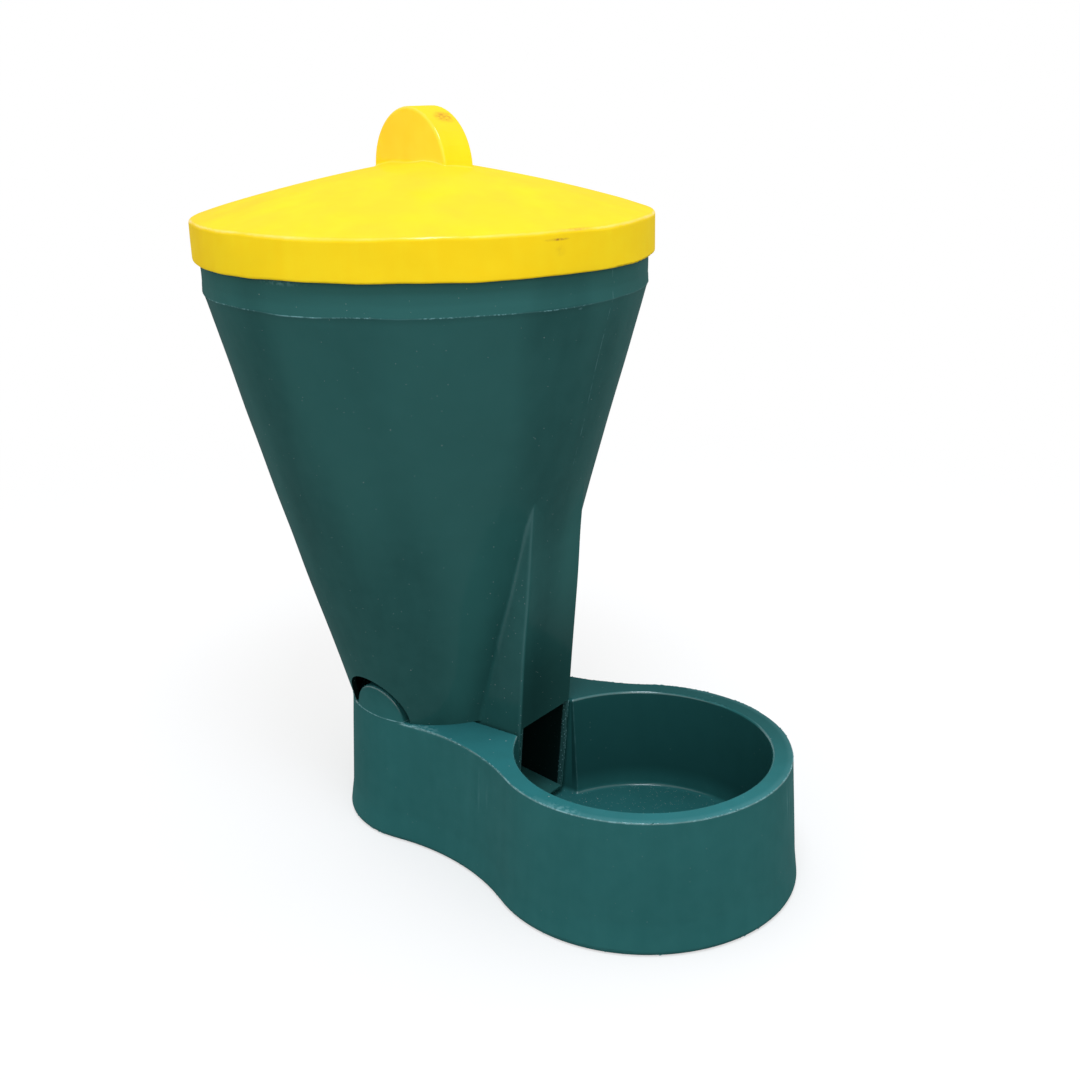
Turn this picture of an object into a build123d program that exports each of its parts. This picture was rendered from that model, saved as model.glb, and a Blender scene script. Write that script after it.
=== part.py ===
from build123d import *

import os
from math import hypot, radians, sqrt, tan

# A gravity dog feeder of three hollow plastic mouldings. A base with a food bowl carries a cone
# shaped hopper, whose chute drops into a slot behind the bowl, and a loose lid covers the hopper.
# The origin is on the floor under the hopper's axis. The bowl is in front, towards -Y, and +Z is up.

# Base, a closed moulding with a double skin
deck_height = 119.0
rear_radius = 86.5
waist_radius = 230.0
bowl_distance = 227.0
base_wall = 5.0
side_lean = 2.8
foot_height = 26.0
foot_lean = 6.8
foot_round = 5.0
deck_edge_round = 2.0

# Bowl, sunk into the front of the base
bowl_radius = 113.3
rim_width = 17.7
bowl_floor = 21.2
bowl_lean = 2.5
bowl_floor_round = 4.5
rim_round = 3.0

# Hopper, a cone with a collar around its open top
hopper_wall = 5.0
skirt_inset = 0.6
cone_height = 389.7
crease_radius = 193.2
crease_round = 3.0
collar_height = 55.8
collar_flare = 0.8
collar_edge_round = 1.0

# Chute, a box on the front of the cone that reaches down into the slot
chute_width = 79.0
chute_overhang = 7.9
chute_depth = 68.0
chute_lean = 5.17
chute_lift = 4.8
chute_floor_slope = 8.5
chute_corner_round = 3.5
chute_foot_round = 3.0
chute_blend = 6.0
mouth_rise = 2.5
slot_gap = 3.5
slot_corner_round = 2.0

# Sloping floor inside the hopper, which leads the food forward to the chute
ramp_slope = 35.0

# Lugs on the base, which stand in arched notches of the hopper and keep it from turning
lug_radius = 31.3
lug_drop = 2.3
lug_back = 9.5
lug_thickness = 12.0
lug_round = 2.5
notch_gap = 7.1
notch_rise = 3.3

# Lid, a loose cap that rests on the rim of the collar
lid_gap = 1.5
lid_wall = 4.5
lid_drop = 29.5
lid_corner_rise = 4.5
lid_peak_rise = 45.3
lid_bulge = 3.5
lid_corner_round = 4.0
lid_edge_round = 2.0
lid_seat_width = 9.0

# Grip on the lid, a hollow half disc on edge
grip_radius = 51.5
grip_thickness = 31.0
grip_centre_rise = 36.5
grip_turn = 13.5
grip_round = 3.0
grip_root_round = 3.0

# Vent in the underside of the base, with its push-in plug
vent_back = 45.0
vent_radius = 6.0
vent_recess_radius = 11.0
vent_recess_depth = 3.0
vent_boss_wall = 5.0
plug_flange_radius = 9.0
plug_flange_thickness = 1.6
plug_gap = 0.15
plug_wall = 1.5
plug_stick_out = 3.0

# Sizes that follow from those above
front_radius = bowl_radius + rim_width
skirt_radius = rear_radius - skirt_inset
crease_height = deck_height + cone_height
rim_height = crease_height + collar_height
collar_radius = crease_radius + collar_flare
cone_tan = (crease_radius - skirt_radius) / cone_height
cone_wall = hopper_wall * sqrt(1 + cone_tan**2)
bowl_tan = tan(radians(bowl_lean))
chute_half = chute_width / 2
chute_reach = bowl_distance - bowl_radius + chute_overhang
chute_back = chute_reach - chute_depth
chute_bottom = bowl_floor + chute_lift
chute_tan = tan(radians(chute_lean))
chute_wall = hopper_wall * sqrt(1 + chute_tan**2)
floor_tan = tan(radians(chute_floor_slope))
mouth_top = deck_height + mouth_rise
slot_half = chute_half + slot_gap
slot_back = chute_back - slot_gap
ramp_start = sqrt(skirt_radius**2 - chute_half**2)
ramp_tan = tan(radians(ramp_slope))
ramp_wall = hopper_wall * sqrt(1 + ramp_tan**2)
lid_radius = collar_radius + lid_gap + lid_wall
lid_corner = rim_height + lid_corner_rise
lid_foot = rim_height - lid_drop
far = 2 * (bowl_distance + front_radius)
close = deck_height / 1000


def turned(points, axis_y=0):
    """Turn an outline of (radius, height) points about an upright axis."""
    face = make_face(Polyline(*[(r, 0, z) for r, z in points], close=True))
    return Pos(0, axis_y, 0) * revolve(face, Axis.Z)


def side_block(points, half):
    """Make a block from an outline of (y, z) points, reaching half to each side of the middle."""
    face = make_face(Polyline(*[(0, y, z) for y, z in points], close=True))
    return extrude(face, half, dir=(1, 0, 0), both=True)


def layer(bottom, top):
    """Everything between two heights."""
    return Pos(0, 0, (bottom + top) / 2) * Box(far, far, top - bottom)


def post(radius, bottom, top):
    """A round block on the hopper's axis between two heights."""
    return Pos(0, 0, (bottom + top) / 2) * Cylinder(radius, top - bottom)


def level_edges(shape, height):
    """The edges of a shape that lie at one height."""
    found = []
    for edge in shape.edges():
        box = edge.bounding_box()
        if abs(box.min.Z - height) < close and abs(box.max.Z - height) < close:
            found.append(edge)
    return found


def base_outline(grow, height):
    """Two round ends joined by hollow arcs at the waist, grown outward."""
    rear = rear_radius + grow
    front = front_radius + grow
    waist = waist_radius - grow
    to_rear = rear_radius + waist_radius
    to_front = front_radius + waist_radius
    along = (to_rear**2 - to_front**2 + bowl_distance**2) / (2 * bowl_distance)
    waist_centre = Vector(sqrt(to_rear**2 - along**2), -along)
    bowl_centre = Vector(0, -bowl_distance)
    rear_touch = waist_centre * (rear / to_rear)
    front_touch = bowl_centre + (waist_centre - bowl_centre) * (front / to_front)
    inward = ((rear_touch + front_touch) / 2 - waist_centre).normalized()
    right = [rear_touch, waist_centre + inward * waist, front_touch]
    left = [Vector(-p.X, p.Y) for p in right]
    edges = [
        ThreePointArc(left[0], (0, rear), right[0]),
        ThreePointArc(*right),
        ThreePointArc(right[2], bowl_centre - Vector(0, front), left[2]),
        ThreePointArc(*reversed(left)),
    ]
    return Pos(0, 0, height) * make_face(edges)


def side_grow(height):
    """How far the outer wall stands outside its outline at the deck."""
    grow = tan(radians(side_lean)) * (deck_height - max(height, foot_height))
    return grow + tan(radians(foot_lean)) * max(foot_height - height, 0)


def base_block(inset):
    """The base as a full block, or the hollow that an inset leaves inside its walls."""
    heights = [inset, foot_height, deck_height - inset]
    return loft([base_outline(side_grow(z) - inset, z) for z in heights], ruled=True)


def pocket(grow):
    """The bowl and the slot behind it, or the same grown by a wall."""
    floor = bowl_floor - grow
    top = deck_height + 2 * base_wall
    low_radius = bowl_radius - bowl_tan * (deck_height - bowl_floor) + grow
    top_radius = bowl_radius + bowl_tan * (top - deck_height) + grow
    bowl = turned([(0, floor), (low_radius, floor), (top_radius, top), (0, top)], -bowl_distance)
    slot_end = grow - slot_back
    slot = [(-bowl_distance, floor), (slot_end, floor), (slot_end, top), (-bowl_distance, top)]
    return bowl + side_block(slot, slot_half + grow)


def on_wing(edge):
    """Tell whether an edge rises where a side of the slot opens into the bowl."""
    centre = edge.center()
    in_front = centre.Y < -(slot_back + bowl_distance - bowl_radius) / 2
    return in_front and abs(abs(centre.X) - slot_half) < close and edge.bounding_box().size.Z > rim_round


def on_rim(edge):
    """Tell whether an edge of the deck borders the bowl or the slot."""
    points = [edge @ 0.25, edge @ 0.75]
    by_bowl = all(hypot(p.X, p.Y + bowl_distance) < bowl_radius + rim_width / 2 for p in points)
    by_slot = all(abs(p.X) < slot_half + rim_round and -bowl_distance < p.Y < 0 for p in points)
    return by_bowl or by_slot


def arched_blocks(radius, height):
    """Round-topped blocks that reach outward from the axis to the right and to the left."""
    face = Circle(radius) + Pos(0, -height / 2) * Rectangle(2 * radius, height)
    right = extrude(Plane.YZ * Pos(lug_back, height) * face, 2 * rear_radius, dir=(1, 0, 0))
    return [right, mirror(right, Plane.YZ)]


def make_lugs():
    """Half-round lugs that carry the base's side wall on above the deck."""
    wall = post(rear_radius, deck_height - base_wall, far) - post(rear_radius - lug_thickness, 0, far)
    lugs = []
    for block in arched_blocks(lug_radius, deck_height - lug_drop):
        lug = block & wall
        outer = [e for e in lug.edges() if hypot((e @ 0.5).X, (e @ 0.5).Y) > rear_radius - lug_thickness / 4]
        arch = [e for e in outer if e.bounding_box().max.Z > deck_height + lug_radius / 2]
        lugs.append(fillet(arch, lug_round))
    return lugs


def make_base():
    """The hollow base with its bowl, slot, lugs and vent."""
    bowl = pocket(0)
    bowl = fillet([e for e in bowl.edges() if on_wing(e)], slot_corner_round)
    bowl = fillet(level_edges(bowl, bowl_floor), bowl_floor_round)
    block = base_block(0)
    block = fillet(level_edges(block, 0), foot_round)
    block = fillet(level_edges(block, deck_height), deck_edge_round)
    shell = block - bowl
    shell = fillet([e for e in level_edges(shell, deck_height) if on_rim(e)], rim_round)
    at_vent = Pos(0, vent_back, 0)
    boss = at_vent * post(vent_recess_radius + vent_boss_wall, 0, base_wall + vent_recess_depth)
    hollow = base_block(base_wall) - pocket(base_wall) - boss
    vent = at_vent * post(vent_radius, -base_wall, 3 * base_wall)
    recess = at_vent * post(vent_recess_radius, -base_wall, vent_recess_depth)
    for lug in make_lugs():
        shell = shell + lug
    return shell - hollow - vent - recess


def make_vent_plug():
    """The plug that is pushed up into the vent and hides in its recess."""
    stem_radius = vent_radius - plug_gap
    stem_top = vent_recess_depth + base_wall + plug_stick_out
    flange_bottom = vent_recess_depth - plug_flange_thickness
    flange = post(plug_flange_radius, flange_bottom, vent_recess_depth)
    stem = post(stem_radius, flange_bottom, stem_top)
    bore = post(stem_radius - plug_wall, flange_bottom + plug_wall, stem_top + plug_wall)
    return Pos(0, vent_back, 0) * (flange + stem - bore)


def cone_profile(inset, bottom, top):
    """The hopper's round outline between two heights, drawn in by its wall where inset is 1."""
    return [
        (0, bottom),
        (skirt_radius + cone_tan * (bottom - deck_height) - inset * cone_wall, bottom),
        (crease_radius - inset * cone_wall, crease_height),
        (collar_radius - inset * hopper_wall, top),
        (0, top),
    ]


def chute_block(inset):
    """The chute from its floor up into the cone, drawn in by its wall where inset is 1."""
    front = chute_reach - inset * chute_wall
    back = chute_back + inset * hopper_wall
    bottom = chute_bottom + inset * hopper_wall
    bottom_front = front + chute_tan * (bottom - deck_height)
    points = [
        (-bottom_front, bottom),
        (-back, bottom + floor_tan * (bottom_front - back)),
        (-back, crease_height),
        (-front - chute_tan * (crease_height - deck_height), crease_height),
    ]
    return side_block(points, chute_half - inset * hopper_wall)


def above_ramp():
    """Everything above the sloping floor."""
    start = deck_height + ramp_wall
    points = [
        (-far, start),
        (-ramp_start, start),
        (far, start + ramp_tan * (far + ramp_start)),
        (far, 2 * far),
        (-far, 2 * far),
    ]
    return side_block(points, far)


def below_ramp():
    """Everything behind the chute and below the sloping floor."""
    points = [
        (-chute_back, 0),
        (far, 0),
        (far, deck_height + ramp_tan * (far + ramp_start)),
        (-chute_back, deck_height + ramp_tan * (ramp_start - chute_back)),
    ]
    return side_block(points, far)


def on_joint(edge):
    """Tell whether an edge runs where the chute leaves the cone."""
    middle = edge @ 0.5
    cone_radius = skirt_radius + cone_tan * (middle.Z - deck_height)
    on_cone = abs(hypot(middle.X, middle.Y) - cone_radius) < close
    in_front = middle.Y < -(chute_back + ramp_start) / 2 and abs(middle.X) < chute_half + close
    return on_cone and in_front and middle.Z > deck_height + close


def make_hopper():
    """The cone with its collar, chute, mouth, sloping floor and notches."""
    cone = turned(cone_profile(0, deck_height, rim_height))
    cone = fillet(level_edges(cone, crease_height), crease_round)
    chute = chute_block(0)
    fronts = [e for e in chute.edges() if (e @ 0.5).Y < -chute_reach and e.bounding_box().size.X < close]
    chute = fillet(fronts, chute_corner_round)
    low = [e for e in chute.edges() if e.bounding_box().max.Z < (chute_bottom + deck_height) / 2]
    chute = fillet(low, chute_foot_round)
    body = cone + chute
    body = fillet([e for e in body.edges() if on_joint(e)], chute_blend)
    inner = turned(cone_profile(1, deck_height - hopper_wall, rim_height + hopper_wall))
    body = body - ((inner & above_ramp()) + chute_block(1))
    body = body - (inner & below_ramp())
    body = fillet(level_edges(body, rim_height), collar_edge_round)
    forward = 2 * chute_wall
    mouth = Pos(0, -forward, -forward * floor_tan) * chute_block(1)
    body = body - (mouth & layer(0, mouth_top))
    for notch in arched_blocks(lug_radius + notch_gap, deck_height + notch_rise):
        body = body - (notch - post(rear_radius / 2, 0, rim_height))
    return body


def lid_height(radius):
    """Height of the lid's outer face at a radius."""
    share = radius / lid_radius
    return lid_corner + lid_peak_rise * (1 - share) + 4 * lid_bulge * share * (1 - share)


def dome(radius, bottom, drop):
    """A round block with the lid's domed top, lowered by a drop."""
    rise = [(radius * share, 0, lid_height(radius * share) - drop) for share in (1, 0.5, 0)]
    side = Polyline(rise[2], (0, 0, bottom), (radius, 0, bottom), rise[0])
    return revolve(make_face(side.edges() + [ThreePointArc(*rise)]), Axis.Z)


def grip_block(inset):
    """The grip's half disc on edge, or the hollow inside its walls."""
    radius = grip_radius - inset
    centre = lid_corner + grip_centre_rise
    face = Circle(radius) + Pos(0, -grip_centre_rise) * Rectangle(2 * radius, 2 * grip_centre_rise)
    block = extrude(Plane.YZ * Pos(0, centre) * face, grip_thickness / 2 - inset, dir=(1, 0, 0), both=True)
    return Rot(0, 0, -grip_turn) * (block & layer(lid_corner, far))


def on_grip_edge(edge):
    """Tell whether an edge follows the outline of one of the grip's two faces."""
    return (edge @ 0.5).Z > lid_corner + close and edge.bounding_box().size.Z > grip_thickness / 2


def on_grip_root(edge):
    """Tell whether an edge runs where the grip leaves the lid."""
    middle = edge @ 0.5
    radius = hypot(middle.X, middle.Y)
    return radius < 1.1 * grip_radius and abs(middle.Z - lid_height(radius)) < 5 * close


def make_lid():
    """The cap with its skirt, seat and hollow grip."""
    cap = dome(lid_radius, lid_foot, 0)
    cap = fillet(level_edges(cap, lid_corner), lid_corner_round)
    cap = fillet(level_edges(cap, lid_foot), lid_edge_round)
    grip = grip_block(0)
    cap = cap + fillet([e for e in grip.edges() if on_grip_edge(e)], grip_round)
    cap = fillet([e for e in cap.edges() if on_grip_root(e)], grip_root_round)
    room = dome(lid_radius - lid_wall - lid_seat_width, lid_foot - lid_wall, lid_wall)
    skirt_room = post(lid_radius - lid_wall, lid_foot - lid_wall, rim_height)
    return cap - room - skirt_room - grip_block(lid_wall)


os.makedirs("parts", exist_ok=True)
pieces = {"base": make_base, "base_vent_plug": make_vent_plug, "hopper": make_hopper, "lid": make_lid}
for name, make in pieces.items():
    export_step(make(), "parts/" + name + ".step")
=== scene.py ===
from math import cos, pi, radians, sin, sqrt

import bmesh
import bpy
from mathutils import Matrix, Vector


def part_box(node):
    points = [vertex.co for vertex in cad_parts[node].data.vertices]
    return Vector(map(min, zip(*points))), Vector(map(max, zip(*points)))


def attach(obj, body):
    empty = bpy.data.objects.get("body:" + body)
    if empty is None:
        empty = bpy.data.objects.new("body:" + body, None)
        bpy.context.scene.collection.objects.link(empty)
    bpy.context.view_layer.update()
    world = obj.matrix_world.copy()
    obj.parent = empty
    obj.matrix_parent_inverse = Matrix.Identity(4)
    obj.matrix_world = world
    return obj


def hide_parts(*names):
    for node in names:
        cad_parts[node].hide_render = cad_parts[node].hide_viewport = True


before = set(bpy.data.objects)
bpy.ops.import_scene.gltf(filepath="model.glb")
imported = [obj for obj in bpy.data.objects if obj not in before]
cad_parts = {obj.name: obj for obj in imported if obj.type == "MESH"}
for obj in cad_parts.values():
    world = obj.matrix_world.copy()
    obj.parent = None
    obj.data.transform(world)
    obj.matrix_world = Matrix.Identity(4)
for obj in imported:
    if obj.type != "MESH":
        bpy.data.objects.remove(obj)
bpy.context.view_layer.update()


# Camera. It looks down on the feeder past the left side of the bowl, from a metre and a quarter away.
# Its focal length and centre are in pixels of the photograph's frame, which is as wide as it is high.
eye = Vector((-0.9432, -0.8110, 0.6894))
heading = radians(-54.78)
dip = radians(17.93)
roll = radians(-0.53)
frame_width = 1080
focal_length = 1400.3
centre_across = 564.4
centre_down = 517.2
sensor_width = 36

lens = bpy.data.cameras.new("camera")
lens.sensor_width = sensor_width
lens.lens = focal_length * sensor_width / frame_width
lens.shift_x = 0.5 - centre_across / frame_width
lens.shift_y = centre_down / frame_width - 0.5
camera = bpy.data.objects.new("camera", lens)
bpy.context.scene.collection.objects.link(camera)
aimed = Matrix.Rotation(heading, 4, "Z") @ Matrix.Rotation(pi / 2 - dip, 4, "X")
aimed = aimed @ Matrix.Rotation(roll, 4, "Z")
camera.matrix_world = Matrix.Translation(eye) @ aimed
bpy.context.scene.camera = camera
bpy.context.scene.view_settings.view_transform = "Standard"


# Floor and lamps. The pale floor is smooth and runs on into a white surround. A broad cool lamp hangs
# over the feeder, a weaker one hangs in front of it to the left, and both are soft.
floor_radius = 30.0
floor_sides = 64
floor_white = (0.9, 0.9, 0.9, 1)
floor_bounce = (0.36, 0.36, 0.36, 1)
floor_glow = 0.55
shadow_reach = 0.7
white_reach = 1.7
surround_white = (1, 1, 1, 1)
surround_strength = 1.0
feeder_middle = Vector((0, -0.08, 0.3))


class Flow:
    """A node tree, or one value on its way through it. Sums and products of values add Math nodes."""

    def __init__(self, tree, socket=None):
        self.tree = tree
        self.socket = socket

    def node(self, kind, settings=None, inputs=None, output=0):
        """Add any node, set it up, feed its sockets and give one of its outputs."""
        made = self.tree.nodes.new(kind)
        for name, value in (settings or {}).items():
            setattr(made, name, value)
        for name, value in (inputs or {}).items():
            if isinstance(value, Flow):
                self.tree.links.new(value.socket, made.inputs[name])
            else:
                made.inputs[name].default_value = value
        return Flow(self.tree, made.outputs[output] if made.outputs else None)

    def out(self, name):
        """Another output of the same node."""
        return Flow(self.tree, self.socket.node.outputs[name])

    def maths(self, operation, first, second=0.0):
        return self.node("ShaderNodeMath", {"operation": operation}, {0: first, 1: second})

    def __add__(self, other):
        return self.maths("ADD", self, other)

    def __sub__(self, other):
        return self.maths("SUBTRACT", self, other)

    def __rsub__(self, other):
        return self.maths("SUBTRACT", other, self)

    def __mul__(self, other):
        return self.maths("MULTIPLY", self, other)

    def __rtruediv__(self, other):
        return self.maths("DIVIDE", other, self)

    def __gt__(self, other):
        return self.maths("GREATER_THAN", self, other)

    def __lt__(self, other):
        return self.maths("LESS_THAN", self, other)

    def __abs__(self):
        return self.maths("ABSOLUTE", self)

    __radd__ = __add__
    __rmul__ = __mul__

    def above(self, low, high):
        """0 below low and 1 above high, with an eased rise between them."""
        edges = {"Value": self, "From Min": low, "From Max": high}
        return self.node("ShaderNodeMapRange", {"interpolation_type": "SMOOTHSTEP"}, edges)

    def near(self, centre, width):
        """1 at the centre, falling to 0 at a width to either side."""
        return 1 - abs(self - centre).above(0.0, width)

    def at_least(self, least):
        """This share, from 0 to 1, squeezed so that it starts at a least value instead of 0."""
        return least + (1 - least) * self

    def parts(self):
        """The three parts of a vector."""
        first = self.node("ShaderNodeSeparateXYZ", None, {0: self})
        return first, first.out("Y"), first.out("Z")

    def vector(self, operation, other, output=0):
        return self.node("ShaderNodeVectorMath", {"operation": operation}, {0: self, 1: other}, output)

    def scaled(self, factor):
        return self.node("ShaderNodeVectorMath", {"operation": "SCALE"}, {0: self, "Scale": factor})

    def length(self):
        return self.vector("LENGTH", (0, 0, 0), "Value")

    def noise(self, scale, detail=2.0):
        """Soft noise around 0.5 at a place, with so many blotches to the metre."""
        return self.node("ShaderNodeTexNoise", None, {"Vector": self, "Scale": scale, "Detail": detail})

    def patches(self, scale, detail, low, high):
        """Patches of that noise: 0 where it is below the low value, and 1 above the high one."""
        return self.noise(scale, detail).above(low, high)

    def blend(self, first, second):
        """The first colour where this value is 0 and the second where it is 1."""
        return self.node("ShaderNodeMix", {"data_type": "RGBA"}, {0: self, 6: first, 7: second}, 2)


surround = bpy.data.worlds.new("surround")
bpy.context.scene.world = surround
surround.use_nodes = True
surround.node_tree.nodes.clear()
air = Flow(surround.node_tree)
glow = air.node("ShaderNodeBackground", None, {"Color": surround_white, "Strength": surround_strength})
air.node("ShaderNodeOutputWorld", None, {"Surface": glow})

# Where the floor is seen, it is lit and shadowed near the feeder and turns into plain white further
# out. It throws less light back up on the feeder than a floor of that colour would.
paint = bpy.data.materials.new("pale_floor")
paint.use_nodes = True
paint.node_tree.nodes.clear()
ground = Flow(paint.node_tree)
ray = ground.node("ShaderNodeLightPath", output="Is Camera Ray")
in_view = (ray + ray.out("Is Glossy Ray") + ray.out("Is Transmission Ray")) > 0.5
away = ground.node("ShaderNodeTexCoord", output="Object").length()
lit = ground.node("ShaderNodeBsdfDiffuse", None, {"Color": floor_white})
white = ground.node("ShaderNodeEmission", None, {"Strength": 1.0})
whiteness = away.above(shadow_reach, white_reach).at_least(floor_glow)
shown = ground.node("ShaderNodeMixShader", None, {0: whiteness, 1: lit, 2: white})
bounce = ground.node("ShaderNodeBsdfDiffuse", None, {"Color": floor_bounce})
both = ground.node("ShaderNodeMixShader", None, {0: in_view, 1: bounce, 2: shown})
ground.node("ShaderNodeOutputMaterial", None, {"Surface": both})

disc = bmesh.new()
bmesh.ops.create_circle(disc, cap_ends=True, segments=floor_sides, radius=floor_radius)
floor_mesh = bpy.data.meshes.new("floor")
disc.to_mesh(floor_mesh)
disc.free()
floor_mesh.materials.append(paint)
floor = bpy.data.objects.new("floor", floor_mesh)
bpy.context.scene.collection.objects.link(floor)


def hang_lamp(name, place, size, watts, tint):
    """Hang a square soft lamp that points at the middle of the feeder."""
    bulb = bpy.data.lights.new(name, "AREA")
    bulb.size = size
    bulb.energy = watts
    bulb.color = tint
    lamp = bpy.data.objects.new(name, bulb)
    turned = (feeder_middle - place).to_track_quat("-Z", "Y").to_matrix().to_4x4()
    lamp.matrix_world = Matrix.Translation(place) @ turned
    bpy.context.scene.collection.objects.link(lamp)


hang_lamp("lamp_over", place=Vector((-0.65, -0.6, 2.1)), size=0.6, watts=16, tint=(0.88, 0.98, 1.10))
hang_lamp("lamp_front", place=Vector((-1.9, -1.7, 1.7)), size=1.2, watts=4, tint=(1.0, 0.99, 0.96))


# Base. One hollow polyethylene moulding with a double skin: bowl, slot, deck and side wall run into
# each other. Its walls wave a little, and the deck's outer edge is ragged where the mould closed.
green = (0.023, 0.124, 0.123, 1)
green_dark = (0.018, 0.106, 0.105, 1)
# The lighter green is painted light on the tops, the shaded green is painted shade, and the pale green serves
# both wear and painted highlights.
green_light_and_tone = (0.025, 0.160, 0.172, 1)
green_shaded = (0.0095, 0.055, 0.055, 1)
green_pale_mark = (0.17, 0.36, 0.38, 1)
dust = (0.30, 0.38, 0.37, 1)

upright = Vector((0, 0, 1))
wall_step = 0.012
merge_gap = 0.000005
cut_gap = 0.000002
least_edge = 0.00002
flat_angle = radians(0.03)
sharp_angle = radians(38)
wave_length = 0.13
wave_depth = 0.0022
wave_seed = 3.0

deck_height = 0.119
rear_radius = 0.0865
waist_radius = 0.230
bowl_distance = 0.227
front_radius = 0.131
bowl_inside = 0.1148
slot_half = 0.043
wing_corner = -0.1245
lug_reach = 0.076
foot_spread = 0.0056
foot_height = 0.0019
flash_inset = 0.0005
flash_drop = 0.0006


def cut_across(form, faces, square, low, high, step):
    """Cut faces with parallel planes, a step apart, between two distances along an axis."""
    for index in range(int((high - low) / step)):
        corners = {corner_highlight for face in faces for corner_highlight in face.verts}
        edges = {edge for face in faces for edge in face.edges}
        whole = list(corners | edges) + faces
        at = square * (low + (index + 0.5) * step)
        cut = bmesh.ops.bisect_plane(form, geom=whole, dist=cut_gap, plane_co=at, plane_no=square)
        faces = [part for part in cut["geom"] if isinstance(part, bmesh.types.BMFace)]
    return faces


def walls_of(node, *changes):
    """A copy of a CAD node, merged, and cut level by level so that its walls can wave."""
    form = bmesh.new()
    form.from_mesh(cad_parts[node].data)
    bmesh.ops.remove_doubles(form, verts=form.verts, dist=merge_gap)
    bmesh.ops.dissolve_limit(form, angle_limit=flat_angle, verts=form.verts, edges=form.edges)
    low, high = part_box(node)
    cut_across(form, form.faces[:], upright, low[2], high[2], wall_step)
    for change in changes:
        change(form)
    bmesh.ops.dissolve_degenerate(form, dist=least_edge, edges=form.edges)
    form.normal_update()
    for face in form.faces:
        face.smooth = True
    for edge in form.edges:
        edge.smooth = edge.calc_face_angle(0.0) < sharp_angle
    mesh = bpy.data.meshes.new(node + "_walls")
    form.to_mesh(mesh)
    form.free()
    walls = bpy.data.objects.new(node + "_walls", mesh)
    bpy.context.scene.collection.objects.link(walls)
    return walls


def new_tree(name, sockets):
    """A Geometry Nodes tree with named inputs, as its group input."""
    tree = bpy.data.node_groups.new(name, "GeometryNodeTree")
    for label, kind in sockets.items():
        tree.interface.new_socket(name=label, in_out="INPUT", socket_type="NodeSocket" + kind)
    tree.interface.new_socket(name="Geometry", in_out="OUTPUT", socket_type="NodeSocketGeometry")
    return Flow(tree).node("NodeGroupInput")


def end_tree(shape, group):
    """End a tree: make its instances real, give them the material and put them out."""
    real = shape.node("GeometryNodeRealizeInstances", None, {0: shape})
    inputs = {"Geometry": real, "Material": group.out("Material")}
    done = shape.node("GeometryNodeSetMaterial", None, inputs)
    shape.node("NodeGroupOutput", None, {"Geometry": done})
    return shape.tree


def run_tree(source, tree, values, name, even=False):
    """Run a tree on an object and keep the result as a plain mesh piece in its place."""
    modifier = source.modifiers.new(tree.name, "NODES")
    modifier.node_group = tree
    for item in tree.interface.items_tree:
        if item.in_out == "INPUT" and item.name in values:
            modifier[item.identifier] = values[item.name]
    if even:
        source.modifiers.new("even_shading", "WEIGHTED_NORMAL").keep_sharp = True
    seen = source.evaluated_get(bpy.context.evaluated_depsgraph_get())
    piece = bpy.data.objects.new(name, bpy.data.meshes.new_from_object(seen))
    bpy.data.objects.remove(source)
    bpy.context.scene.collection.objects.link(piece)
    return piece


# The waves of a moulded wall: a slow drift sideways, which is least at the foot and most high up, and
# a quicker one, mostly up and down, at one moulded edge. The height from before is kept, so that marks
# stay on the edge that they belong to.
foot_still = 0.002
foot_free = 0.03
tall_low = 0.14
tall_high = 0.30
tall_gain = 1.2
quick_length = 0.45
quick_lean = (0.25, 0.25, 1)

sockets = {"Geometry": "Geometry", "Wave Length": "Float", "Wave Depth": "Float", "Edge Height": "Float"}
sockets |= {"Edge Reach": "Float", "Edge Depth": "Float", "Seed": "Float", "Material": "Material"}
group = new_tree("moulded_waves", sockets)
spot = group.node("GeometryNodeInputPosition")
height = spot.parts()[2]


def drift(length, depth):
    """A random push at each place, in all three directions alike."""
    field = {"Vector": spot, "W": group.out("Seed"), "Scale": 1 / length, "Detail": 1.0}
    colour = group.node("ShaderNodeTexNoise", {"noise_dimensions": "4D"}, field, "Color")
    return colour.vector("SUBTRACT", (0.5, 0.5, 0.5)).scaled(depth)


reach = group.out("Edge Reach")
near_edge = 1 - abs(height - group.out("Edge Height")).above(0.6 * reach, reach)
freedom = height.above(foot_still, foot_free) * (1 + tall_gain * height.above(tall_low, tall_high))
slow = drift(group.out("Wave Length"), group.out("Wave Depth") * freedom).vector("MULTIPLY", (1, 1, 0))
quick = drift(group.out("Wave Length") * quick_length, group.out("Edge Depth") * near_edge)
quick = quick.vector("MULTIPLY", quick_lean)
kept = {"Geometry": group.out("Geometry"), "Name": "moulded_height", "Value": height}
kept = group.node("GeometryNodeStoreNamedAttribute", {"data_type": "FLOAT", "domain": "POINT"}, kept)
moved = {"Geometry": kept, "Offset": slow.vector("ADD", quick)}
moulded_waves = end_tree(group.node("GeometryNodeSetPosition", None, moved), group)

# The flash of a mould joint: a broken row of small chips of polyethylene along a line.
smallest_chip = 0.25

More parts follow.
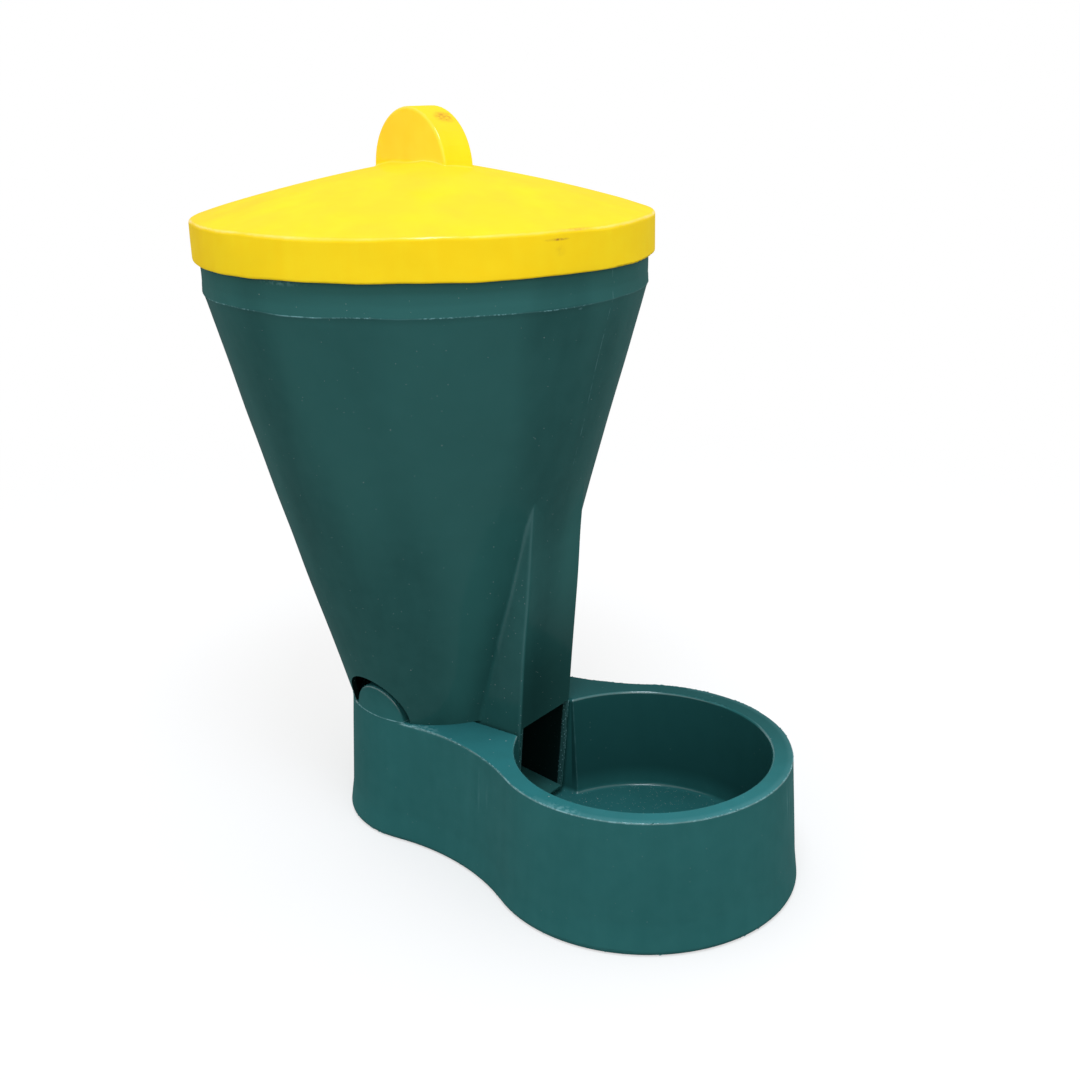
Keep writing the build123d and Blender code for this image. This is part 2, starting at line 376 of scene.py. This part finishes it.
sockets = {"Line": "Geometry", "Spacing": "Float", "Chip": "Float", "Stretch": "Float", "Share": "Float"}
sockets |= {"Patch": "Float", "Seed": "Int", "Material": "Material"}
group = new_tree("mould_flash", sockets)
line = {"Curve": group.out("Line"), "Length": group.out("Spacing")}
points = group.node("GeometryNodeCurveToPoints", {"mode": "LENGTH"}, line)
spot = group.node("GeometryNodeInputPosition")
field = {"Vector": spot, "W": group.out("Seed"), "Scale": 1 / group.out("Patch")}
patch = group.node("ShaderNodeTexNoise", {"noise_dimensions": "4D"}, field)
kept = patch > 0.75 - 0.5 * group.out("Share")
chip = group.node("GeometryNodeMeshIcoSphere", None, {"Radius": group.out("Chip"), "Subdivisions": 1})
most = group.node("ShaderNodeCombineXYZ", None, {"X": 1.0, "Y": 1.0, "Z": group.out("Stretch")})
sizes = {"Min": most.scaled(smallest_chip), "Max": most, "Seed": group.out("Seed")}
size = group.node("FunctionNodeRandomValue", {"data_type": "FLOAT_VECTOR"}, sizes)
shift = {"Min": (-0.5, -0.5, -0.5), "Max": (0.5, 0.5, 0.5), "Seed": group.out("Seed") + 1}
jitter = group.node("FunctionNodeRandomValue", {"data_type": "FLOAT_VECTOR"}, shift)
moved = {"Geometry": points, "Offset": jitter.scaled(group.out("Chip"))}
strewn = group.node("GeometryNodeSetPosition", None, moved)
row = {"Points": strewn, "Selection": kept, "Instance": chip, "Scale": size}
row |= {"Rotation": points.out("Rotation")}
mould_flash = end_tree(group.node("GeometryNodeInstanceOnPoints", None, row), group)


def lay_flash(name, body, places, closed, values):
    """Lay a row of flash chips along a line of places, as a piece that moves with a body."""
    curve = bpy.data.curves.new(name + "_line", "CURVE")
    curve.dimensions = "3D"
    run = curve.splines.new("POLY")
    run.points.add(len(places) - 1)
    for point, place in zip(run.points, places):
        point.co = (*place, 1)
    run.use_cyclic_u = closed
    line = bpy.data.objects.new(name + "_line", curve)
    bpy.context.scene.collection.objects.link(line)
    piece = run_tree(line, mould_flash, values, name)
    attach(piece, body)


# The skin of moulded polyethylene: blotches to the metre, depths of its relief in metres, and gloss.
cloud_scale = 8.0
mottle_scale = 75.0
streak_scale = (80.0, 80.0, 6.0)
grain_scale = 900.0
ripple_scale = 26.0
chafe_scale = 420.0
mottle_depth = 0.00010
grain_depth = 0.000010
ripple_depth = 0.0010
chafe_depth = 0.0005
skin_gloss = 0.05
gloss_roughness = 0.16
gloss_index = 1.8


def polyethylene(name, dark, light, light_and_tone, darkened, pale_mark_colour, dirt, roughness, marks):
    """Moulded polyethylene: a satin skin, faintly mottled and streaked, with its marks of wear and dirt, and
    with painted light, painted shade and painted highlights in its colour. Its roundings have a gloss of
    their own, from the polished corners of the mould and from use."""
    material = bpy.data.materials.new(name)
    material.use_nodes = True
    material.node_tree.nodes.clear()
    skin = Flow(material.node_tree)
    place = skin.node("ShaderNodeTexCoord", output="Object")
    facing = skin.node("ShaderNodeTexCoord", output="Normal")
    cloud = place.noise(cloud_scale)
    mottle = place.noise(mottle_scale, 4.0)
    streak = place.vector("MULTIPLY", streak_scale).noise(1.0, 3.0)
    light_and_tone_mask, darkening, pale_marks, soil, polish = marks(place, facing)
    tone = (0.5 * cloud + 0.25 * mottle + 0.25 * streak).above(0.3, 0.7).blend(dark, light)
    # Painted light and painted shade come in through the first two masks, and painted highlights through the
    # pale marks, together with tone, wear and dirt.
    for mask, colour in ((light_and_tone_mask, light_and_tone), (darkening, darkened), (pale_marks, pale_mark_colour), (soil, dirt)):
        if isinstance(mask, Flow):
            tone = mask.blend(tone, colour)
    rough = roughness + 0.10 * (mottle - 0.5) + 0.12 * (streak - 0.5) + 0.22 * pale_marks + 0.2 * soil
    peel = grain_depth * place.noise(grain_scale) + mottle_depth * mottle
    peel = peel + ripple_depth * place.noise(ripple_scale, 1.0)
    relief = peel + chafe_depth * pale_marks * place.noise(chafe_scale, 3.0)
    bump = skin.node("ShaderNodeBump", None, {"Strength": 1.0, "Distance": 1.0, "Height": relief})
    gloss = (skin_gloss + (1 - skin_gloss) * polish) * (1 - 0.6 * pale_marks) * (0.7 + 0.6 * mottle)
    finish = {"Base Color": tone, "Roughness": rough, "Specular IOR Level": 0.0, "Normal": bump}
    finish |= {"Coat Weight": gloss, "Coat Roughness": gloss_roughness, "Coat IOR": gloss_index}
    surface = skin.node("ShaderNodeBsdfPrincipled", None, finish)
    skin.node("ShaderNodeOutputMaterial", None, {"Surface": surface})
    return material


def specks(place, per_metre, share, size):
    """Small round specks in a share of the cells of a loose grid."""
    cell = place.node("ShaderNodeTexVoronoi", None, {"Vector": place, "Scale": per_metre}, "Distance")
    chosen = cell.out("Color").parts()[0] > 1 - share
    return chosen * (1 - cell.above(0.4 * size * per_metre, size * per_metre))


def around(place, spot, reach):
    """1 at a spot, falling to 0 at a reach from it, which is given for each direction."""
    return 1 - place.vector("SUBTRACT", spot).vector("DIVIDE", reach).length().above(0.1, 1.0)


def rounding(facing):
    """1 on the roundings between upright and level faces."""
    return facing.parts()[2].near(0.56, 0.42)


# The marks of the base. Patches are given as blotches to the metre, detail, and the noise at which
# they start and are full; specks as cells to the metre, the share that has one, and its size.
scuff_patches = (38.0, 3.0, 0.46, 0.60)
torn_patches = (260.0, 3.0, 0.45, 0.57)
brush_scale = (240.0, 240.0, 14.0)
brush_patches = (1.0, 3.0, 0.5, 0.75)
lit_noise = (45.0, 5.0)
rim_noise = (30.0, 3.0)
deck_specks = (170.0, 0.10, 0.0009)
bowl_crumbs = (520.0, 0.35, 0.00045)
crumb_top = 0.03
edge_drop = 0.003
joint_half = 0.0009
joint_rise = 0.0003
corner_across = 0.004
corner_along = 0.006
rim_inset = 0.002
rim_highlight_half = 0.005
rim_highlight_start = -0.2
slot_spare = 0.001
below_deck = deck_height - 0.002
bowl_shade_start = 0.024
bowl_shade_full = 0.045
gloss_low = 0.04
gloss_high = 0.08
lit_direction = (-1.0, -0.3, 0.0)
lit_start = -0.07
lit_full = 0.14
# Spots on the deck's outer edge: the first, by the lug, is a painted highlight; the others are wear.
worn_and_highlit_spots = (
    ((-0.0833, -0.042), 0.026),
    ((-0.1305, -0.233), 0.032),
    ((-0.1075, -0.151), 0.005),
    ((-0.1160, -0.166), 0.006),
    ((-0.0700, -0.338), 0.006),
)
deck_smears = (
    ((-0.0800, -0.0440), (0.010, 0.022, 0.003)),
    ((-0.1290, -0.2330), (0.009, 0.024, 0.003)),
)
brushed_spots = (
    ((-0.104, -0.118, 0.085), (0.02, 0.02, 0.03)),
    ((0.03, -0.355, 0.09), (0.03, 0.03, 0.03)),
)


def base_wear_and_highlight(place, facing, outward, flat):
    """Wear along the deck's outer edge and its mould joint, with a painted highlight on the edge by the lug,
    smears on the deck, and a brushed wall.
    """
    across, along, height = place.parts()
    upward = facing.parts()[2]
    torn = place.patches(*torn_patches)
    pale_marks = 0.12 + 0.65 * place.patches(*scuff_patches)
    for spot, reach in worn_and_highlit_spots:
        pale_marks = pale_marks + 0.8 * around(place, (*spot, deck_height), (reach, reach, reach))
    edge = upward.near(0.5, 0.48) * height.above(deck_height - edge_drop, deck_height - edge_drop / 2)
    pale_marks = edge * (outward > 0.02) * pale_marks * torn.at_least(0.3)
    for spot, reach in deck_smears:
        pale_marks = pale_marks + 0.4 * around(place, (*spot, deck_height), reach) * torn * flat
    joint = height.near(deck_height + joint_rise, joint_half) * (abs(across) > lug_reach)
    pale_marks = pale_marks + joint * upward.near(0.0, 0.3) * torn.at_least(0.35)
    brushed = place.vector("MULTIPLY", brush_scale).patches(*brush_patches)
    for spot, reach in brushed_spots:
        pale_marks = pale_marks + 0.25 * around(place, spot, reach) * brushed
    return pale_marks


def base_marks(place, facing):
    """Wear, tops painted lighter as painted light, most on the side the light comes from, painted shade in
    the bowl, the slot and on the deck's far side, and specks of dust. A painted highlight runs along the
    front of the rim and down the slot's corners, with some wear there."""
    across, along, height = place.parts()
    upward = facing.parts()[2]
    flat = upward.above(0.8, 0.95)
    from_bowl = place.vector("ADD", (0, bowl_distance, 0))
    radius = from_bowl.vector("MULTIPLY", (1, 1, 0)).length()
    outward = from_bowl.vector("DOT_PRODUCT", facing, "Value")
    lit_side = place.vector("DOT_PRODUCT", lit_direction, "Value").above(lit_start, lit_full)
    # Painted light: up-facing faces are painted lighter, most on the side the light comes from, broken up by
    # noise.
    light_and_tone = upward.above(0.3, 0.95) * (0.05 + 0.75 * lit_side) * (0.6 + 0.8 * place.noise(*lit_noise))
    # Painted shade: the bowl and the slot below the deck are painted darker, away from their floors.
    inside = (radius < bowl_inside) + (abs(across) < slot_half - slot_spare) * (outward < 0.0)
    inside = inside * height.above(bowl_shade_start, bowl_shade_full) * (height < below_deck)
    # Painted shade also falls on the deck on the side away from the light.
    shaded_places = inside + 0.8 * (1 - lit_side) * flat * (height > below_deck)
    # Painted highlight, with some burrs: a pale line down the slot's corners at the bowl.
    corner_highlight = abs(across).near(slot_half, corner_across) * along.near(wing_corner, corner_along)
    corner_highlight = corner_highlight * abs(facing.parts()[0]).near(0.72, 0.26) * (height < below_deck)
    # Painted highlight: a pale band on the deck along the front of the rim.
    rim_highlight = radius.near(front_radius - rim_inset, rim_highlight_half) * flat * (along < rim_highlight_start)
    pale_marks = base_wear_and_highlight(place, facing, outward, flat) + 0.24 * rim_highlight * place.noise(*rim_noise)
    pale_marks = pale_marks + 0.25 * corner_highlight * place.patches(*torn_patches).at_least(0.4)
    dusty = specks(place, *deck_specks) * flat.at_least(0.12)
    dusty = dusty + specks(place, *bowl_crumbs) * flat * (height < crumb_top)
    polish = rounding(facing) * height.above(gloss_low, gloss_high).at_least(0.45) + 0.5 * corner_highlight
    return light_and_tone, 0.8 * shaded_places, pale_marks, 0.75 * dusty, polish


# Flash and the plug are small things: their patches and specks are fine.
flash_shades = 900.0
flash_tears = (300.0, 2.0, 0.35, 0.6)
fine_specks = (900.0, 0.1, 0.0002)


def flash_marks(place, facing):
    """Thin flash is pale where it was torn."""
    return place.noise(flash_shades), 0.0, place.patches(*flash_tears), specks(place, *fine_specks), 0.0


tones = (green_dark, green, green_light_and_tone, green_shaded, green_pale_mark, dust)
green_base = polyethylene("green_base", *tones, 0.30, base_marks)
green_flash = polyethylene("green_flash", *tones, 0.45, flash_marks)


def waist_line(grow, height, step=0.003):
    """The outline of the base: two round ends joined by hollow arcs at the waist, grown outward."""
    to_rear = rear_radius + waist_radius
    to_front = front_radius + waist_radius
    along = (to_rear**2 - to_front**2 + bowl_distance**2) / (2 * bowl_distance)
    waist = Vector((sqrt(to_rear**2 - along**2), -along))
    bowl = Vector((0, -bowl_distance))
    right = []
    for centre, radius, start, end in (
        (Vector((0, 0)), rear_radius + grow, Vector((0, 1)), waist),
        (waist, waist_radius - grow, -waist, bowl - waist),
        (bowl, front_radius + grow, waist - bowl, Vector((0, -1))),
    ):
        turn = -start.angle_signed(end)
        count = int(abs(turn) * radius / step) + 1
        for index in range(count):
            ray = Matrix.Rotation(turn * index / count, 2) @ start.normalized()
            right.append(centre + radius * ray)
    left = [Vector((-p.x, p.y)) for p in reversed(right[1:])]
    return [(p.x, p.y, height) for p in right + [bowl + Vector((0, -front_radius - grow))] + left]


waves = {"Wave Length": wave_length, "Wave Depth": wave_depth, "Seed": wave_seed}
edge = {"Edge Height": deck_height, "Edge Reach": 0.006, "Edge Depth": 0.0, "Material": green_base}
base = run_tree(walls_of("base"), moulded_waves, waves | edge, "base_shell", even=True)
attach(base, "base")
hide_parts("base")

chips = {"Spacing": 0.0010, "Chip": 0.00055, "Stretch": 2.4, "Share": 0.5, "Patch": 0.03, "Seed": 5}
places = waist_line(-flash_inset, deck_height - flash_drop)
lay_flash("deck_flash", "base", places, True, chips | {"Material": green_flash})
chips = {"Spacing": 0.0016, "Chip": 0.0007, "Stretch": 2.2, "Share": 0.35, "Patch": 0.02, "Seed": 8}
places = waist_line(foot_spread, foot_height)
lay_flash("foot_flash", "base", places, True, chips | {"Material": green_flash})


# Vent plug. A black polyethylene plug pushed up into the vent of the closed base. Its flange hides in
# a recess of the underside, so it has the plain skin of a small moulding.
black = (0.012, 0.012, 0.013, 1)
black_light = (0.018, 0.018, 0.020, 1)
black_rubbed = (0.05, 0.05, 0.05, 1)
plug_shades = 300.0
plug_rubbing = (500.0, 2.0, 0.5, 0.6)


def plug_marks(place, facing):
    """A little rubbing on the flange's edge, and dust."""
    pale_edge = facing.parts()[2].near(-0.5, 0.4) * place.patches(*plug_rubbing)
    return place.noise(plug_shades), 0.0, pale_edge, specks(place, *fine_specks), 0.0


tones = (black, black, black_light, black, black_rubbed, dust)
plug_skin = polyethylene("plug_black", *tones, 0.5, plug_marks)
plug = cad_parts["base_vent_plug"]
plug.data.materials.clear()
plug.data.materials.append(plug_skin)


# Hopper. A hollow cone with a collar round its open top and a box-shaped chute that reaches into the
# slot. It is green polyethylene, moulded in one piece. Pale flash runs round the crease under the
# collar and down the joint of the two mould halves.
cone_green = (0.019, 0.090, 0.086, 1)
cone_dark = (0.015, 0.074, 0.071, 1)
cone_light = (0.027, 0.116, 0.110, 1)
# Dark green for painted shade inside the chute and for the darker lower front.
chute_dark = (0.003, 0.010, 0.009, 1)

crease_height = 0.5087
crease_radius = 0.1932
skirt_radius = 0.0859
joint_turn = radians(-89.3)
chute_half = 0.0395
chute_wall = 0.005
chute_front = 0.1216
front_lean = 0.0905
front_start = -0.1
mouth_top = 0.1215
mouth_bottom = 0.034

blend_low = 0.25
blend_high = 0.40
blend_spare = 0.01
blend_across = 0.006
blend_up = 0.004
blend_depth = 0.005
blend_half = 0.036
blend_fade = 0.010
front_gap = 0.0015
flare = 0.0007
flare_top = 0.018
flare_bottom = 0.004
flare_step = 0.002
skin_gap = 0.002


def cone_reach(height):
    """The radius of the hopper's cone at a height."""
    share = (height - deck_height) / (crease_height - deck_height)
    return skirt_radius + (crease_radius - skirt_radius) * share


def front_plane(height):
    """How far forward the flat front of the chute stands at a height."""
    return chute_front + front_lean * (height - deck_height)


def soften_front(form):
    """Let the chute's flat front run softly into the cone above it."""
    front = []
    for face in form.faces:
        x, y, z = face.calc_center_median()
        if blend_low < z < blend_high and abs(x) < blend_half and y < front_start and face.normal.y < -0.5:
            front.append(face)
    front = cut_across(form, front, Vector((1, 0, 0)), -blend_half, blend_half, blend_across)
    cut_across(form, front, upright, blend_low, blend_high, blend_up)
    for vertex in form.verts:
        x, y, z = vertex.co
        if blend_low - blend_spare < z < blend_high + blend_spare and abs(x) < blend_half and y < front_start:
            flat = -front_plane(z)
            curved = -sqrt(cone_reach(z) ** 2 - x * x)
            if abs(y - min(flat, curved)) < front_gap:
                near = max(1 - abs(flat - curved) / blend_depth, 0)
                share = min((blend_half - abs(x)) / blend_fade, 1)
                vertex.co.y = min(flat, curved) - share * near**2 * blend_depth / 4


def flare_collar(form):
    """Let the foot of the collar stand out a little over the crease, as the mould's halves left it."""
    low, high = crease_height - 2 * flare_bottom, crease_height + flare_top
    ring = [face for face in form.faces if low < face.calc_center_median().z < high]
    cut_across(form, ring, upright, low, high, flare_step)
    for vertex in form.verts:
        x, y, z = vertex.co
        reach = flare_top if z > crease_height else flare_bottom
        near = max(1 - abs(z - crease_height) / reach, 0)
        if sqrt(x * x + y * y) > cone_reach(z) - skin_gap:
            vertex.co.xy *= 1 + flare * near**2 / crease_radius


# The marks of the hopper, with patches and specks given as on the base.
crease_half = 0.0009
crease_tears = (430.0, 4.0, 0.47, 0.62)
crease_patches = (36.0, 2.0, 0.40, 0.60)
long_flash = ((-0.1895, -0.030, crease_height), (0.03, 0.034, 0.01))
long_flash_patches = (110.0, 3.0, 0.34, 0.5)
collar_smear = ((-0.1925, -0.018, 0.5325), (0.02, 0.030, 0.003))
smear_patches = (420.0, 4.0, 0.4, 0.65)
cone_scratch = ((-0.0373, -0.1894, 0.506), (0.003, 0.003, 0.0014))
cone_joint_half = 0.0007
cone_joint_patches = (140.0, 4.0, 0.46, 0.62)
cone_joint_end = 0.30
cone_joint_full = 0.42
lip_grit = (420.0, 0.55, 0.0008)
lip_start = 0.003
lip_end = 0.0055
lip_outer = chute_half - chute_wall
lip_inner = lip_outer - 0.0012
lip_top = mouth_top - 0.001
lip_back = -0.09
fine_dust = (420.0, 0.03, 0.0004)
coarse_dust = (150.0, 0.04, 0.0006)
corner_dust = (260.0, 0.3, 0.0006)
corner_dust_top = 0.27
corner_dust_middle = chute_half + 0.004
corner_dust_reach = 0.012
corner_highlight_width = 0.006
inner_depth = 0.004
chute_shade_low = 0.16
chute_shade_high = 0.26
collar_start = crease_height + 0.002
low_front_dark = ((0.0, -0.127, 0.140), (0.120, 0.04, 0.13))
band_scale = (11.0, 11.0, 2.0)
band_patches = (1.0, 1.0, 0.36, 0.62)


def seam_wear(place, outside):
    """Pale flash along the crease and the joint of the mould, a smear and a scratch. The joint fades
    out above the front of the chute."""
    along, height = place.parts()[1:]
    level = place.node("ShaderNodeAttribute", {"attribute_name": "moulded_height"}, output="Fac")
    torn = 0.8 * place.patches(*crease_tears) * place.patches(*crease_patches)
    torn = torn + around(place, *long_flash) * place.patches(*long_flash_patches)
    crease = level.near(crease_height, crease_half) * outside
    smear = around(place, *collar_smear) * place.patches(*smear_patches) + around(place, *cone_scratch)
    aside = place.vector("DOT_PRODUCT", (-sin(joint_turn), cos(joint_turn), 0), "Value")
    joint = aside.near(0.0, cone_joint_half) * outside * place.patches(*cone_joint_patches)
    joint = joint * ((along > 0.0) + (along < 0.0) * height.above(cone_joint_end, cone_joint_full))
    return crease * torn.at_least(0.10) + 0.35 * smear * outside + 0.35 * joint


def hopper_marks(place, facing):
    """Pale flash at the seams, a rough cut mouth, painted shade inside the chute, the chute's front darker
    around its lower middle, soft upright bands of tone with the collar painted lighter as painted light, a
    painted highlight down the chute's front corners, and specks of dust."""
    across, along, height = place.parts()
    side = abs(across)
    sideways = abs(facing.parts()[0])
    level = facing.parts()[2].above(0.7, 0.9)
    out = facing.vector("MULTIPLY", place).parts()
    outside = (out[0] + out[1]) > 0.0
    front = outside * (along < front_start)
    depth = along + front_plane(height)

    lip = (1 - depth.above(lip_start, lip_end)) * side.above(lip_inner, lip_outer) * (out[0] < 0.0004)
    lip = lip * (1 - height.above(lip_top, mouth_top)) * (along < lip_back)
    # Painted highlight: a pale line down the chute's front corners.
    corner_highlight = side.near(chute_half, corner_highlight_width) * sideways.near(0.7, 0.35) * front
    pale_marks = seam_wear(place, outside) + lip * specks(place, *lip_grit).at_least(0.10) + 0.08 * corner_highlight

    # Painted shade: the inside of the chute is painted dark, a little less on its level floors.
    inside = (depth > inner_depth) * ((out[0] + out[1]) < 0.0) * (1 - height.above(chute_shade_low, chute_shade_high))
    darkened = inside * (0.95 - 0.35 * level)
    at_corner = side.near(corner_dust_middle, corner_dust_reach) * (height < corner_dust_top) * (along < 0.0)
    dusty = specks(place, *coarse_dust) + specks(place, *fine_dust)
    dusty = dusty + specks(place, *corner_dust) * at_corner + 0.2 * darkened * level
    # The chute's front is painted darker around its lower middle.
    darkened = darkened + 0.55 * around(place, *low_front_dark) * (1 - sideways.above(0.2, 0.6)) * front

    bands_and_lit_collar = 0.8 * place.vector("MULTIPLY", band_scale).patches(*band_patches) * outside
    # Painted light: the collar above the crease is painted lighter.
    bands_and_lit_collar = bands_and_lit_collar + 0.5 * height.above(crease_height, collar_start) * outside
    return bands_and_lit_collar, darkened, pale_marks, 0.7 * dusty, rounding(facing) * outside + 0.15 * corner_highlight


tones = (cone_dark, cone_green, cone_light, chute_dark, green_pale_mark, dust)
green_hopper = polyethylene("green_hopper", *tones, 0.26, hopper_marks)
edge = {"Edge Height": crease_height, "Edge Reach": 0.014, "Edge Depth": 0.006, "Material": green_hopper}
walls = walls_of("hopper", soften_front, flare_collar)
hopper = run_tree(walls, moulded_waves, waves | edge, "hopper_shell", even=True)
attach(hopper, "hopper")
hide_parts("hopper")

chips = {"Spacing": 0.0009, "Chip": 0.00045, "Stretch": 1.8, "Share": 0.55, "Patch": 0.01, "Seed": 11}
lip_middle = chute_half - chute_wall / 2
for name, side in (("left_lip_flash", -1), ("right_lip_flash", 1)):
    places = []
    for share in (0.0, 0.5, 1.0):
        z = mouth_bottom + share * (mouth_top - mouth_bottom)
        places.append((side * lip_middle, -front_plane(z), z))
    lay_flash(name, "hopper", places, False, chips | {"Material": green_flash})


# Lid. A cap with a hollow grip, moulded in one piece of yellow polyethylene. Its corner is soft and
# waves where the moulding shrank, and handling has left a few brown scuffs.
yellow = (0.97, 0.65, 0.010, 1)
yellow_light = (0.99, 0.72, 0.016, 1)
# The top-shade yellow is painted shade on the dome; the pale yellow is wear together with a painted highlight
# on the corner.
yellow_top_shade = (0.82, 0.50, 0.032, 1)
yellow_pale_mark = (0.98, 0.84, 0.25, 1)
scuff_brown = (0.42, 0.17, 0.03, 1)

skirt_middle = 0.552
lid_corner = 0.569
lid_radius = 0.200
peak_rise = 0.0453
slope_bulge = 0.0035
land_rise = 0.0405
land_fade = 0.012
land_low = 0.594
land_high = 0.616
land_half = 0.09
land_step = 0.001
swell_spot = Vector((-0.033, -0.042))
swell_reach = 0.055
swell_rise = 0.005
drawn_in = 0.9965
grip_root = 0.609
grip_square = (0.9724, -0.2334, 0.0)
grip_nub = (0.0121, 0.0508, 0.6175)
nub_half = 0.001
root_reach = (0.11, 0.11, 0.03)
root_fade = 0.006
top_shade_noise = (22.0, 6.0)
pale_edge_patches = (30.0, 3.0, 0.45, 0.6)
scuff_grain = (260.0, 5.0, 0.38, 0.62)
gloss_patches = (34.0, 2.0, 0.36, 0.66)
lid_specks = (60.0, 0.05, 0.0006)
lid_scuffs = (
    ((-0.0670, -0.1884, 0.5628), (0.0150, 0.0150, 0.0015), 1.3),
    ((-0.0640, -0.1895, 0.5540), (0.0070, 0.0070, 0.0060), 0.2),
    ((-0.0480, -0.1930, lid_corner), (0.0240, 0.0240, 0.0016), 0.6),
    ((-0.0050, -0.0320, 0.6510), (0.0140, 0.0140, 0.0090), 1.6),
)


def settle_top(form):
    """Flatten the peak around the grip to a small land, and let it swell a little in front. The lid is
    drawn in by a hair, so that its waves stay within its true size."""
    top = []
    for face in form.faces:
        centre = face.calc_center_median()
        if centre.z > land_low and centre.xy.length < land_half:
            top.append(face)
    cut_across(form, top, upright, land_low, land_high, land_step)
    for vertex in form.verts:
        share = vertex.co.xy.length / lid_radius
        rise = peak_rise * (1 - share) + 4 * slope_bulge * share * (1 - share)
        near = max(1 - abs(vertex.co.z - lid_corner - rise) / land_fade, 0)
        swell = max(1 - ((vertex.co.xy - swell_spot).length / swell_reach) ** 2, 0) ** 2
        vertex.co.z += near * (min(land_rise - rise, 0) + swell_rise * swell)
        vertex.co.xy *= drawn_in


def lid_marks(place, facing):
    """A pale band along the corner, partly rubbing and partly painted highlight, brown scuffs on the grip,
    the corner and the skirt, and a few specks of dirt. The dome's upward faces are painted darker in patches,
    as painted shade against the light from above, and the corners of the grip are polished by hands."""
    upward = facing.parts()[2]
    # Painted shade: upward faces of the dome are painted darker, in noisy patches.
    top_shade = (0.6 + 0.9 * (place.noise(*top_shade_noise) - 0.5)) * upward.above(0.1, 0.9)
    soil = 0.5 * specks(place, *lid_specks)
    grain = place.patches(*scuff_grain).at_least(0.3)
    for spot, reach, depth in lid_scuffs:
        soil = soil + depth * around(place, spot, reach) * grain
    on_grip = place.parts()[2].above(grip_root, grip_root + root_fade)
    root = around(place, (0, 0, grip_root), root_reach) * (1 - on_grip)
    dome = (1 - root) * (1 - on_grip)
    # A pale band round the corner's rounding, partly rubbing and partly painted highlight.
    pale_edge = upward.near(0.6, 0.3) * place.patches(*pale_edge_patches).at_least(0.3)
    turned = abs(facing.vector("DOT_PRODUCT", grip_square, "Value")).near(0.7, 0.5)
    polish = rounding(facing) * dome * (0.15 + 0.6 * place.patches(*gloss_patches)) + 0.6 * on_grip * turned
    return top_shade, 0.0, 0.4 * pale_edge * dome, 0.7 * soil, polish


tones = (yellow, yellow_light, yellow_top_shade, yellow, yellow_pale_mark, scuff_brown)
yellow_lid = polyethylene("yellow_lid", *tones, 0.32, lid_marks)
edge = {"Edge Height": skirt_middle, "Edge Reach": 0.024, "Edge Depth": -0.006, "Material": yellow_lid}
lid = run_tree(walls_of("lid", settle_top), moulded_waves, waves | edge, "lid_shell", even=True)
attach(lid, "lid")
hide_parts("lid")

chips = {"Spacing": 0.0006, "Chip": 0.0009, "Stretch": 1.4, "Share": 1.0, "Patch": 0.01, "Seed": 3}
x, y, z = grip_nub
places = [(x, y, z - nub_half), grip_nub, (x, y, z + nub_half)]
lay_flash("grip_flash", "lid", places, False, chips | {"Material": yellow_lid})
